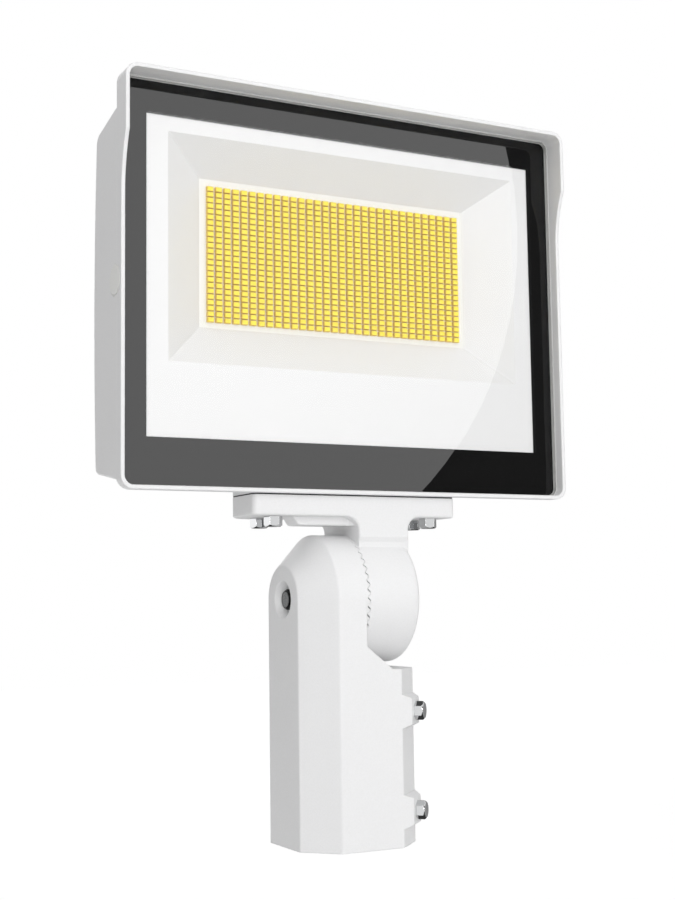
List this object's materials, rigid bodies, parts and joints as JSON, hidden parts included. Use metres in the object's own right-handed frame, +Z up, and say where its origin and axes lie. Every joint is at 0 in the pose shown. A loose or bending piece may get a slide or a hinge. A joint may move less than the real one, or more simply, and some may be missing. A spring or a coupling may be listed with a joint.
{
  "type": "area light",
  "caption": "Flat rectangular outdoor area light with a visor, glass front and LED array, tilting on a toothed knuckle above an octagonal pole-tenon socket held by hex set screws.",
  "frame": {"origin": "centre of the tenon socket's mouth, at the bottom of the slipfitter", "axes": "+Z up along the socket, +X to the right of the head seen from its glass, -Y out of the glass"},
  "size_m": [0.311, 0.0814, 0.4632],
  "materials": {
    "white_paint": "satin",
    "reflector_white": "matte",
    "plated_steel": "satin",
    "black_rubber": "matte",
    "grey_silicone": "satin",
    "clear_glass": "gloss",
    "black_enamel": "gloss",
    "board_white": "satin",
    "led_phosphor": "satin",
    "grey_heat_pad": "matte",
    "white_plastic": "satin",
    "wire_insulation": "satin",
    "bare_aluminium": "satin"
  },
  "bodies": {
    "base": {"slipfitter": "white_paint", "set_screws": "plated_steel", "pivot_bolt": "plated_steel", "pivot_washer": "plated_steel", "pivot_spring_washer": "plated_steel", "pivot_nut": "plated_steel"},
    "head": {"knuckle_arm": "white_paint", "housing": "white_paint", "reflector": "reflector_white", "plate_bolts": "plated_steel", "ground_screw": "plated_steel", "reflector_screws": "plated_steel", "board_screws": "plated_steel", "driver_screws": "plated_steel", "mount_gasket": "black_rubber", "wire_grommet": "black_rubber", "glass_seal": "grey_silicone", "glass_lens": "clear_glass", "enamel_border": "black_enamel", "led_board": "board_white", "led_strips": "led_phosphor", "thermal_pad": "grey_heat_pad", "side_cap": "white_plastic", "board_connector": "white_plastic", "led_leads": "wire_insulation", "driver_case": "bare_aluminium", "driver_lid": "bare_aluminium"}
  },
  "joints": [
    {"name": "head_tilt", "type": "hinge", "parent": "base", "child": "head", "pos_m": [0, 0, 0.15], "axis": [1, 0, 0], "range_deg": [-90, 90]}
  ]
}
